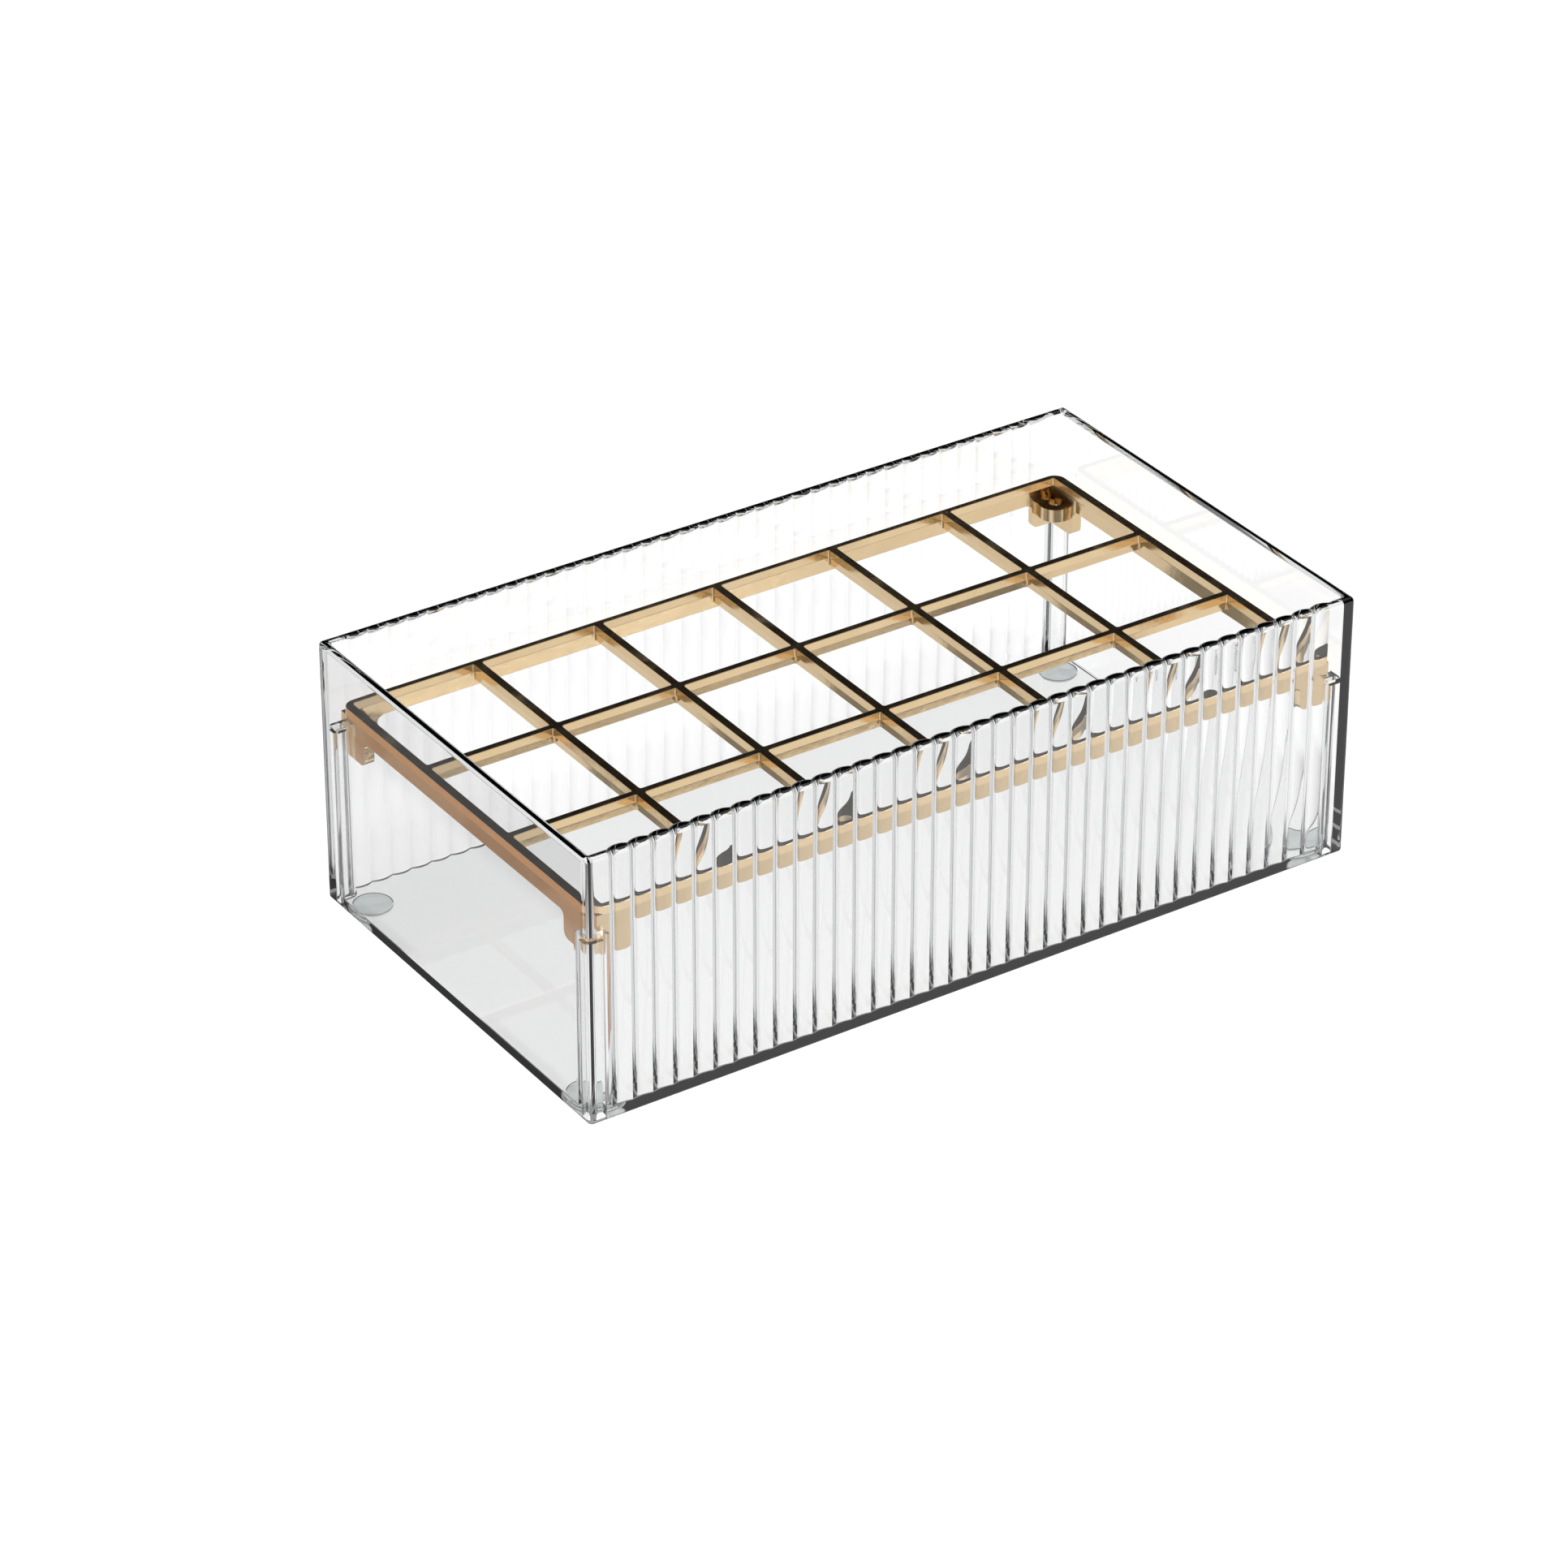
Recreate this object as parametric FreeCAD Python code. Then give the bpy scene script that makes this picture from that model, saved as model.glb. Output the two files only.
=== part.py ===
"""Clear organizer box for lipsticks: a ribbed, open-topped box with a lift-out grid of cells.

Millimetres, +Z up. The origin is the centre of the footprint, on the surface that the
four foot pads stand on. X runs along the length, Y across the width, and the plain end
walls are square to X.
"""
import FreeCAD, Part
import math
import os

# Clear box
box_length = 182.0
box_width = 100.0
box_height = 60.0
end_wall = 2.0
side_wall = 2.2
floor_thickness = 1.5
outer_corner_radius = 1.0
bottom_edge_radius = 0.5

# Ribs that stand inward on both long walls
rib_pitch_wanted = 4.6
rib_height = 0.45

# Hollow posts in the inside corners, which carry the grid
post_length = 5.8
post_width = 5.3
post_rounding = 2.3
post_wall = 1.2
post_top = 41.6

# Grid insert
cells_along = 6
cells_across = 3
grid_lower_height = 3.4
grid_upper_height = 1.6
bar_height = 3.4
grid_end_gap = 1.8
grid_side_gap = 1.05
grid_corner_radius = 2.8
end_rail_width = 2.35
side_rail_width = 1.7
cross_bar_width = 2.25
long_bar_width = 2.0
bar_draft = 0.2
lower_bar_draft = 0.4

# Legs under the corners of the grid, either side of each post
leg_drop = 5.6
end_leg_length = 8.7
end_leg_thickness = 2.3
side_leg_length = 7.4
side_leg_thickness = 1.3
leg_foot_rounding = 1.5

# Round boss inside each corner, between the two legs
boss_diameter = 7.4
boss_height = 2.9
boss_hole_diameter = 3.0
boss_end_inset = 2.7
boss_side_inset = 3.0

# Gap between the grid's corners and the posts that they close around
post_clearance = 0.3

# Foot pads, seated in shallow recesses under the floor
pad_diameter = 8.0
pad_thickness = 1.0
pad_stand_proud = 0.5
pad_recess_clearance = 0.2
pad_edge_radius = 0.3
pad_end_inset = 6.5
pad_side_inset = 9.2

# Sizes that follow from the ones above
underside = pad_stand_proud
floor_top = underside + floor_thickness
inside_half_length = box_length / 2 - end_wall
inside_half_width = box_width / 2 - side_wall
rib_crest_half_width = inside_half_width - rib_height
post_half_length = box_length / 2 - post_length
post_half_width = box_width / 2 - post_width
rib_zone = 2 * post_half_length
rib_count = int(rib_zone / rib_pitch_wanted)
rib_pitch = rib_zone / rib_count
grid_length = 2 * (inside_half_length - grid_end_gap)
grid_width = 2 * (rib_crest_half_width - grid_side_gap)
grid_bottom = post_top
parting_height = grid_bottom + grid_lower_height
grid_top = parting_height + grid_upper_height
bar_bottom = grid_top - bar_height
cell_length = (grid_length - 2 * end_rail_width - (cells_along - 1) * cross_bar_width) / cells_along
cell_width = (grid_width - 2 * side_rail_width - (cells_across - 1) * long_bar_width) / cells_across
leg_bottom = grid_bottom - leg_drop
leg_outer_x = grid_length / 2 - bar_draft
leg_outer_y = grid_width / 2 - bar_draft
pocket_radius = post_rounding + post_clearance
pocket_centre_x = post_half_length + post_rounding
pocket_centre_y = post_half_width + post_rounding
boss_centre_x = grid_length / 2 - boss_end_inset
boss_centre_y = grid_width / 2 - boss_side_inset
pad_centre_x = box_length / 2 - pad_end_inset
pad_centre_y = box_width / 2 - pad_side_inset

CORNERS = {
    "front_left": (-1, -1),
    "front_right": (1, -1),
    "back_left": (-1, 1),
    "back_right": (1, 1),
}


def point(x, y, z=0.0):
    return FreeCAD.Vector(x, y, z)


def block(low, high):
    """Box between two opposite corners, given in any order."""
    corner = [min(a, b) for a, b in zip(low, high)]
    size = [abs(b - a) for a, b in zip(low, high)]
    return Part.makeBox(size[0], size[1], size[2], point(*corner))


def near(value, target):
    return abs(value - target) < 1e-6


def edges_where(shape, test):
    """Edges of the shape whose ends all pass the test."""
    return [edge for edge in shape.Edges if all(test(vertex.Point) for vertex in edge.Vertexes)]


def upright_edges_at(shape, x, y):
    return edges_where(shape, lambda end: near(end.x, x) and near(end.y, y))


def rounded_rectangle(length, width, radius, z):
    """Closed wire of a rectangle with round corners, centred on the origin."""
    half_x = length / 2
    half_y = width / 2
    edges = []
    for quarter in range(4):
        start_angle = quarter * math.pi / 2
        sign_x = 1 if quarter in (0, 3) else -1
        sign_y = 1 if quarter in (0, 1) else -1
        centre = point(sign_x * (half_x - radius), sign_y * (half_y - radius), z)
        arc = [centre + point(radius * math.cos(angle), radius * math.sin(angle))
               for angle in (start_angle, start_angle + math.pi / 4, start_angle + math.pi / 2)]
        if edges:
            edges.append(Part.LineSegment(last_point, arc[0]).toShape())
        else:
            first_point = arc[0]
        edges.append(Part.Arc(arc[0], arc[1], arc[2]).toShape())
        last_point = arc[2]
    edges.append(Part.LineSegment(last_point, first_point).toShape())
    return Part.Wire(edges)


def grown_rectangle(low_x, low_y, high_x, high_y, growth, z):
    """Closed wire of a rectangle between two corners, pushed out on all sides."""
    corners = [
        (low_x - growth, low_y - growth),
        (high_x + growth, low_y - growth),
        (high_x + growth, high_y + growth),
        (low_x - growth, high_y + growth),
    ]
    return Part.makePolygon([point(x, y, z) for x, y in corners + corners[:1]])


def drafted(lower_wire, middle_wire, upper_wire):
    """Solid that tapers from its parting line both up and down."""
    lower = Part.makeLoft([lower_wire, middle_wire], True, True)
    upper = Part.makeLoft([middle_wire, upper_wire], True, True)
    return lower.fuse(upper)


def rib_arcs(side):
    """Inner face of one long wall in plan, as a row of arcs that bulge into the box."""
    arcs = []
    for number in range(rib_count):
        start = -rib_zone / 2 + number * rib_pitch
        valley = side * inside_half_width
        crest = side * rib_crest_half_width
        arcs.append(Part.Arc(
            point(start, valley, floor_top),
            point(start + rib_pitch / 2, crest, floor_top),
            point(start + rib_pitch, valley, floor_top)).toShape())
    return arcs


def box_cavity():
    """Space inside the walls, from the floor to above the rim, without the posts."""
    low_x, high_x = -inside_half_length, inside_half_length
    rib_end = rib_zone / 2
    edges = rib_arcs(-1) + rib_arcs(1)
    for side in (-1, 1):
        y = side * inside_half_width
        edges.append(Part.LineSegment(point(low_x, y, floor_top), point(-rib_end, y, floor_top)).toShape())
        edges.append(Part.LineSegment(point(rib_end, y, floor_top), point(high_x, y, floor_top)).toShape())
    for x in (low_x, high_x):
        edges.append(Part.LineSegment(
            point(x, -inside_half_width, floor_top),
            point(x, inside_half_width, floor_top)).toShape())
    outline = Part.Wire(Part.__sortEdges__(edges))
    return Part.Face(outline).extrude(point(0, 0, box_height))


def corner_post(sign_x, sign_y):
    """Post in one inside corner, with its free edge rounded."""
    low = (sign_x * post_half_length, sign_y * post_half_width, underside + floor_thickness / 2)
    high = (sign_x * (box_length / 2 - end_wall / 2), sign_y * (box_width / 2 - side_wall / 2), post_top)
    post = block(low, high)
    return post.makeFillet(post_rounding, upright_edges_at(post, low[0], low[1]))


def post_hollow(sign_x, sign_y):
    """Hollow that runs up inside one post from below, so that the post is no thicker than a wall."""
    low = (sign_x * (post_half_length + post_wall), sign_y * (post_half_width + post_wall), underside)
    high = (sign_x * inside_half_length, sign_y * inside_half_width, post_top - post_wall)
    hollow = block(low, high)
    return hollow.makeFillet(post_rounding - post_wall, upright_edges_at(hollow, low[0], low[1]))


def clear_box():
    half_x = box_length / 2
    half_y = box_width / 2
    body = block((-half_x, -half_y, underside), (half_x, half_y, box_height))
    corners = []
    for sign_x, sign_y in CORNERS.values():
        corners += upright_edges_at(body, sign_x * half_x, sign_y * half_y)
    body = body.makeFillet(outer_corner_radius, corners)
    body = body.makeFillet(bottom_edge_radius, edges_where(body, lambda end: near(end.z, underside)))
    body = body.cut(box_cavity())
    for sign_x, sign_y in CORNERS.values():
        body = body.fuse(corner_post(sign_x, sign_y))
        body = body.cut(post_hollow(sign_x, sign_y))
        body = body.cut(pad_recess(sign_x, sign_y))
    return body.removeSplitter()


def pad_recess(sign_x, sign_y):
    radius = pad_diameter / 2 + pad_recess_clearance
    depth = pad_thickness - pad_stand_proud
    return Part.makeCylinder(radius, depth, point(sign_x * pad_centre_x, sign_y * pad_centre_y, underside))


def foot_pad(sign_x, sign_y):
    place = point(sign_x * pad_centre_x, sign_y * pad_centre_y, 0)
    pad = Part.makeCylinder(pad_diameter / 2, pad_thickness, place)
    return pad.makeFillet(pad_edge_radius, edges_where(pad, lambda end: near(end.z, 0)))


def grid_plate():
    """Outer block of the grid, widest at its parting line."""
    slim_length = grid_length - 2 * bar_draft
    slim_width = grid_width - 2 * bar_draft
    return drafted(
        rounded_rectangle(slim_length, slim_width, grid_corner_radius, grid_bottom),
        rounded_rectangle(grid_length, grid_width, grid_corner_radius, parting_height),
        rounded_rectangle(slim_length, slim_width, grid_corner_radius, grid_top))


def cell_opening(column, row):
    """Through opening of one cell, narrowest at the parting line."""
    low_x = -grid_length / 2 + end_rail_width + column * (cell_length + cross_bar_width)
    low_y = -grid_width / 2 + side_rail_width + row * (cell_width + long_bar_width)
    high_x = low_x + cell_length
    high_y = low_y + cell_width
    return drafted(
        grown_rectangle(low_x, low_y, high_x, high_y, lower_bar_draft, grid_bottom),
        grown_rectangle(low_x, low_y, high_x, high_y, 0.0, parting_height),
        grown_rectangle(low_x, low_y, high_x, high_y, bar_draft, grid_top))


def room_under_bars():
    """Space inside the rails and below the bars, which are not as deep as the rails."""
    half_x = grid_length / 2 - end_rail_width
    half_y = grid_width / 2 - side_rail_width
    lean = lower_bar_draft * (parting_height - bar_bottom) / grid_lower_height
    return Part.makeLoft([
        grown_rectangle(-half_x, -half_y, half_x, half_y, lower_bar_draft, grid_bottom),
        grown_rectangle(-half_x, -half_y, half_x, half_y, lean, bar_bottom),
    ], True, True)


def end_leg(sign_x, sign_y):
    """Leg under the end rail, from the post inward."""
    inboard_y = sign_y * (leg_outer_y - end_leg_length)
    leg = block(
        (sign_x * leg_outer_x, inboard_y, leg_bottom),
        (sign_x * (leg_outer_x - end_leg_thickness), sign_y * leg_outer_y, parting_height))
    return leg.makeFillet(leg_foot_rounding, edges_where(
        leg, lambda end: near(end.y, inboard_y) and near(end.z, leg_bottom)))


def side_leg(sign_x, sign_y):
    """Leg under the long rail, from the post inward."""
    inboard_x = sign_x * (leg_outer_x - side_leg_length)
    leg = block(
        (inboard_x, sign_y * leg_outer_y, leg_bottom),
        (sign_x * leg_outer_x, sign_y * (leg_outer_y - side_leg_thickness), parting_height))
    return leg.makeFillet(leg_foot_rounding, edges_where(
        leg, lambda end: near(end.x, inboard_x) and near(end.z, leg_bottom)))


def corner_boss(sign_x, sign_y):
    """Round boss on the inner side of the two legs."""
    foot = point(sign_x * boss_centre_x, sign_y * boss_centre_y, grid_bottom - boss_height)
    boss = Part.makeCylinder(boss_diameter / 2, boss_height, foot)
    outline = block(
        (sign_x * leg_outer_x, sign_y * leg_outer_y, leg_bottom),
        (foot.x - sign_x * boss_diameter, foot.y - sign_y * boss_diameter, grid_top))
    return boss.common(outline)


def boss_hole(sign_x, sign_y):
    foot = point(sign_x * boss_centre_x, sign_y * boss_centre_y, grid_bottom - boss_height)
    return Part.makeCylinder(boss_hole_diameter / 2, boss_height, foot)


def post_pocket(sign_x, sign_y):
    """Room for the post and the gap around it, below the grid's rails."""
    centre = point(sign_x * pocket_centre_x, sign_y * pocket_centre_y, leg_bottom)
    corner = (sign_x * box_length / 2, sign_y * box_width / 2, grid_bottom)
    beside_end = (centre.x, centre.y - sign_y * pocket_radius, leg_bottom)
    beside_side = (centre.x - sign_x * pocket_radius, centre.y, leg_bottom)
    pocket = Part.makeCylinder(pocket_radius, leg_drop, centre)
    return pocket.fuse(block(beside_end, corner)).fuse(block(beside_side, corner))


def grid_insert():
    grid = grid_plate()
    for column in range(cells_along):
        for row in range(cells_across):
            grid = grid.cut(cell_opening(column, row))
    grid = grid.cut(room_under_bars())
    for sign_x, sign_y in CORNERS.values():
        for add in (end_leg, side_leg, corner_boss):
            grid = grid.fuse(add(sign_x, sign_y))
        for take in (post_pocket, boss_hole):
            grid = grid.cut(take(sign_x, sign_y))
    return grid.removeSplitter()


def main():
    os.makedirs("parts", exist_ok=True)
    pieces = {"clear_box": clear_box(), "grid_insert": grid_insert()}
    for name, (sign_x, sign_y) in CORNERS.items():
        pieces["foot_pad_" + name] = foot_pad(sign_x, sign_y)
    for name, shape in pieces.items():
        if not shape.isValid() or len(shape.Solids) != 1:
            raise ValueError(name + " is not one valid solid")
        shape.exportStep("parts/" + name + ".step")
        print(name, "volume", round(shape.Volume, 1), "mm3")


main()
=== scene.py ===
"""Looks of the lipstick organizer box: a ribbed clear shell, a gold grid insert and four foot pads.

Metres, +Z up, in the same frame as the CAD model. The origin is the centre of the footprint.
"""

import math

import bmesh
import bpy
from mathutils import Matrix, Vector


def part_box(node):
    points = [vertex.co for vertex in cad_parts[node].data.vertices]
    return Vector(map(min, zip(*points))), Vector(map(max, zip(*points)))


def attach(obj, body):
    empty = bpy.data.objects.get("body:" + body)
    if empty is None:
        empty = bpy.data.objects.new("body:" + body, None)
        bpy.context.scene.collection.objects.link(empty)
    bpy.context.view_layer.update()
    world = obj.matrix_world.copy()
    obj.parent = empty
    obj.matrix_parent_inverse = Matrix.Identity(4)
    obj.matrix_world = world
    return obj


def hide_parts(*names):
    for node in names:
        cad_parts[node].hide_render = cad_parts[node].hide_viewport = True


bl_info = {
    "name": "Lipstick organizer box",
    "version": (1, 0, 0),
    "blender": (4, 5, 0),
    "location": "3D View > Sidebar > Organizer",
    "description": "Builds a clear ribbed box with a gold grid insert, on a pale studio floor",
    "category": "Object",
}

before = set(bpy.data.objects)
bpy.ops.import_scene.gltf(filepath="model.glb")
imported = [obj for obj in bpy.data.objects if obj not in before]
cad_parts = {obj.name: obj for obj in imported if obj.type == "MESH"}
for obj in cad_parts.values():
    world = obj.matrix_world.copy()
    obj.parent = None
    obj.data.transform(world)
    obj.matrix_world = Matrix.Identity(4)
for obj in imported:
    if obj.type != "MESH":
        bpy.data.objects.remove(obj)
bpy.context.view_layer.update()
shell_low, shell_high = (Vector(corner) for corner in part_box("clear_box"))
_, grid_high = (Vector(corner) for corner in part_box("grid_insert"))

MM = 0.001

# Distances under which points, walls and edges count as the same place.
SAME_POINT = 1e-8
SAME_WALL = 1e-7
SAME_EDGE = 1e-6

# Allowances for fitting and for cutting.
PAD_RECESS_GAP = 0.2 * MM
CUT_BEYOND = 0.5 * MM
CUT_HAIR = 0.02 * MM
POST_ROOM_REACH = 10 * MM
BOSS_LIMIT_SIDE = 20 * MM
BAR_EDGE_STEPS = 3

# Noise stays mostly between these two values.
NOISE_LOW = 0.3
NOISE_HIGH = 0.7

# A ray's depths are whole numbers, so halfway marks tell one or more from none, and two or more from one.
ONE_OR_MORE = 0.5
TWO_OR_MORE = 1.5

# Tint of the plastic for rays that pass it straight, and how light the silicone's darker drifts are.
SEE_THROUGH_TINT = (0.93, 0.94, 0.94)
SILICONE_SHADE = 0.85

# Share of plain white in the floor, to the camera and through the plastic. The rest is matt and
# takes the shadow.
FLOOR_WHITE_SHARE = 0.75

# Width of the soft steps between the floor's regions in mirrors.
FLOOR_FADE = 7 * MM

# Brightness of the far floor at the left in mirrors, as a share of the open floor's: a painted darker
# reflection.
FAR_LEFT_LEVEL = 0.2

# The room in mirrors and through the plastic, as heights between the horizon and straight up.
PALE_ROOM = (0.95, 0.95, 0.95, 1)
DARK_ROOM = (0.014, 0.014, 0.015, 1)
ROOM_STOPS = ((0.08, PALE_ROOM), (0.18, DARK_ROOM), (0.7, DARK_ROOM), (0.88, PALE_ROOM))

# The room as it lights matt surfaces.
DIFFUSE_ROOM = (0.6, 0.6, 0.6, 1)

# Both softboxes point at the middle of the box.
LAMP_TARGET = (0, 0, 30 * MM)

PAD_NODES = ("foot_pad_front_left", "foot_pad_front_right", "foot_pad_back_left", "foot_pad_back_right")


def length(name, description, default_mm):
    return bpy.props.FloatProperty(
        name=name, description=description, default=default_mm * MM,
        min=0.0, precision=5, unit="LENGTH", subtype="DISTANCE")


def count(name, description, default):
    return bpy.props.IntProperty(name=name, description=description, default=default, min=1)


def amount(name, description, default):
    return bpy.props.FloatProperty(name=name, description=description, default=default, min=0.0)


def colour(name, description, default):
    return bpy.props.FloatVectorProperty(
        name=name, description=description, default=default, size=3, min=0.0, max=1.0, subtype="COLOR")


def angle(name, description, default_degrees):
    return bpy.props.FloatProperty(
        name=name, description=description, default=math.radians(default_degrees),
        unit="ROTATION", subtype="ANGLE")


class ShellSizes(bpy.types.PropertyGroup):
    end_wall: length("End wall", "Thickness of the two plain end walls", 2.0)
    side_wall: length("Side wall", "Thickness of the two long walls between their ribs", 2.2)
    floor_thickness: length("Floor", "Thickness of the floor", 1.5)
    outer_corner: length("Outer corner", "Rounding of the four upright outside edges", 1.0)
    bottom_edge: length("Bottom edge", "Rounding of the outside bottom edges", 0.5)
    rim_edge: length("Rim edge", "Rounding of the two edges of the rim", 1.0)
    inner_corner: length("Inner corner", "Rounding of the upright inside corners", 0.5)
    cove: length("Cove", "Hollow rounding between the walls and the floor", 0.5)
    rib_pitch: length("Rib pitch", "Wanted distance from one rib to the next", 4.6)
    # 0.45 mm in the CAD model. Taller ribs bend what is behind them more as the photograph shows.
    rib_height: length("Rib height", "How far each rib stands into the box", 0.7)
    post_length: length("Post length", "Corner post, measured along the box from the outside", 5.8)
    post_width: length("Post width", "Corner post, measured across the box from the outside", 5.3)
    post_rounding: length("Post rounding", "Rounding of the free edge of each corner post", 2.3)
    post_wall: length("Post wall", "Thickness of the hollow posts' walls and tops", 1.2)
    post_top: length("Post top", "Height of the corner posts, where the grid rests", 41.6)
    rib_segments: count("Rib segments", "Faces across one rib", 12)


class GridSizes(bpy.types.PropertyGroup):
    cells_along: count("Cells along", "Cells along the length", 6)
    cells_across: count("Cells across", "Cells across the width", 3)
    upper_height: length("Upper height", "Height of the grid above its parting line", 1.6)
    lower_height: length("Lower height", "Height of the rails below the parting line", 3.4)
    bar_height: length(
        "Bar height", "Height of the bars between the cells, which are not as deep as the rails", 3.4)
    corner_radius: length("Corner radius", "Rounding of the outside corners in plan", 2.8)
    end_rail: length("End rail", "Width of the rails along the end walls", 2.35)
    side_rail: length("Side rail", "Width of the rails along the long walls", 1.7)
    cross_bar: length("Cross bar", "Width of the bars that run across the box", 2.25)
    long_bar: length("Long bar", "Width of the bars that run along the box", 2.0)
    draft: length(
        "Draft", "How much each face leans in above the parting line, and the outside below it", 0.2)
    lower_draft: length("Lower draft", "How much each cell's faces lean below the parting line", 0.4)
    lip: length("Lip", "How far the parting line stands out over the face below it", 0.08)
    lip_height: length("Lip height", "Height of the lip's underside", 0.25)
    edge: length("Edge", "Rounding of the top and bottom edges of the bars", 0.1)
    cell_corner: length("Cell corner", "Rounding of the cells' upright corners", 0.25)
    leg_drop: length("Leg drop", "How far the legs reach below the grid", 5.6)
    end_leg_length: length("End leg length", "Length of the legs under the end rails", 8.7)
    end_leg_thickness: length("End leg thickness", "Thickness of the legs under the end rails", 2.3)
    side_leg_length: length("Side leg length", "Length of the legs under the side rails", 7.4)
    side_leg_thickness: length("Side leg thickness", "Thickness of the legs under the side rails", 1.3)
    foot_rounding: length("Foot rounding", "Rounding of the low inner edge of each leg", 1.5)
    root_rounding: length("Root rounding", "Hollow rounding where a leg leaves its rail", 1.2)
    leg_edge: length("Leg edge", "Rounding of the small edges of the legs", 0.15)
    boss_diameter: length("Boss diameter", "Round boss between the two legs of a corner", 7.4)
    boss_height: length("Boss height", "Height of the round boss", 2.9)
    boss_hole: length("Boss hole", "Diameter of the hole in the boss", 3.0)
    boss_end_inset: length("Boss end inset", "From the grid's end to the middle of the boss", 2.7)
    boss_side_inset: length("Boss side inset", "From the grid's side to the middle of the boss", 3.0)
    post_clearance: length("Post clearance", "Gap between the legs and the corner post", 0.3)


class PadSizes(bpy.types.PropertyGroup):
    edge: length("Edge", "Rounding of the lower edge of each pad", 0.3)
    top_edge: length("Top edge", "Rounding of the upper edge of each pad", 0.1)
    facets: count("Facets", "Faces round one pad", 64)


class Finishes(bpy.types.PropertyGroup):
    plastic_tint: colour("Plastic tint", "Tint of the clear plastic's surface", (0.985, 0.985, 0.985))
    plastic_depth: colour(
        "Plastic depth", "Colour of long paths inside the clear plastic", (0.75, 0.77, 0.79))
    plastic_density: amount(
        "Plastic density", "How fast light fades inside the clear plastic, per metre", 14.0)
    plastic_index: amount("Plastic index", "Refractive index of the clear plastic", 1.59)
    mirror_reach: length(
        "Mirror reach", "Paths this short leave the plastic after one reflection inside it", 3.6)
    gold: colour("Gold", "Colour of the plated grid", (0.86, 0.655, 0.405))
    gold_dark: colour(
        "Gold dark", "Colour of the plated grid where the plating is thin", (0.80, 0.585, 0.335))
    silicone: colour("Silicone", "Colour of the foot pads", (0.62, 0.64, 0.64))


class StageSettings(bpy.types.PropertyGroup):
    azimuth: angle("Azimuth", "Where the camera stands, round the box from the front", -33.6095)
    elevation: angle("Elevation", "How far the camera looks down", 30.9588)
    distance: length("Distance", "From the camera to the middle of the box", 1250.52)
    offset_right: length("Offset right", "How far the camera's aim lies left of the middle", 11.0732)
    offset_up: length("Offset up", "How far the camera's aim lies below the middle", 7.1697)
    aim_height: length("Aim height", "Height of the middle of the box", 30.0)
    lens: amount("Lens", "Focal length in millimetres on a 36 mm sensor", 142.54)
    floor_size: length("Floor size", "Side of the square floor", 6000.0)
    floor_colour: colour("Floor colour", "Colour of the floor", (0.86, 0.86, 0.86))
    # Painted reflections: in mirrors the floor is an emission at the levels below, set by region and by the
    # walls a ray has passed, not lit by the lamps.
    open_floor_front: amount(
        "Open floor front", "Brightness of the floor before the box, as the gold sees it", 1.0)
    open_floor_back: amount(
        "Open floor back", "Brightness of the floor behind the box, as the gold sees it", 0.85)
    gloss_front: amount(
        "Gloss front", "Brightness of the floor before the box, as the outer faces mirror it", 1.0)
    gloss_left: amount(
        "Gloss left", "Brightness of the floor beside and behind the box, as the outer faces mirror it", 0.25)
    low_front: amount(
        "Low front", "Brightness of the near floor, as the front rail sees it through the wall", 0.82)
    high_left: amount(
        "High left", "Brightness of the far floor, as the left rail sees it through the wall", 0.72)
    low_left: amount(
        "Low left", "Brightness of the near floor, as the left rail sees it through the wall", 0.5)
    # Painted warm reflection: the floor is white; the warm tint from the near floor outwards shows only where
    # the left rail mirrors the floor through the wall, and darkens that rail.
    near_floor: length("Near floor", "Where the warm floor at the left starts, from the box's middle", 145.0)
    far_floor: length("Far floor", "Where the far floor starts, from the box's middle", 200.0)
    painted_warm_tint: colour(
        "Left tint", "Tint of the floor left of the box, as the left rail sees it", (1.0, 0.66, 0.47))
    # Painted shade: the floor under the box is dimmed in the gold's reflections, standing in for the box's
    # shadow, with one painted bright strip across it.
    painted_shade_under_box: amount(
        "Floor under box", "Brightness of the floor under the box, as the gold sees it", 0.28)
    painted_bright_strip: amount(
        "Bright strip", "Brightness of the strip under the box's middle, as the gold sees it", 1.0)
    strip_middle: length(
        "Strip middle", "How far the bright strip's middle lies behind the box's middle", 7.0)
    strip_half_width: length("Strip half width", "Half the width of the bright strip", 11.0)
    key_power: amount("Key power", "Power of the overhead softbox in watts", 22.0)
    fill_power: amount("Fill power", "Power of the front softbox in watts", 10.0)


def new_mesh_object(name, mesh):
    piece = bpy.data.objects.new(name, mesh)
    bpy.context.scene.collection.objects.link(piece)
    return piece


def mesh_from(name, build):
    """Mesh made by a function that fills a bmesh, checked to be closed."""
    work = bmesh.new()
    build(work)
    open_edges = [edge for edge in work.edges if not edge.is_manifold]
    if open_edges:
        raise RuntimeError(name + " is not closed: " + str(len(open_edges)) + " open edges")
    mesh = bpy.data.meshes.new(name)
    work.to_mesh(mesh)
    work.free()
    return mesh


def new_piece(name, build):
    """Object whose closed mesh is made by a function, both under one name."""
    return new_mesh_object(name, mesh_from(name, build))


def settle(piece):
    """Turns what the modifiers make into the piece's plain mesh."""
    shape = piece.evaluated_get(bpy.context.evaluated_depsgraph_get())
    made = bpy.data.meshes.new_from_object(shape)
    old = piece.data
    name = old.name
    piece.modifiers.clear()
    piece.data = made
    bpy.data.meshes.remove(old)
    made.name = name


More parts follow.
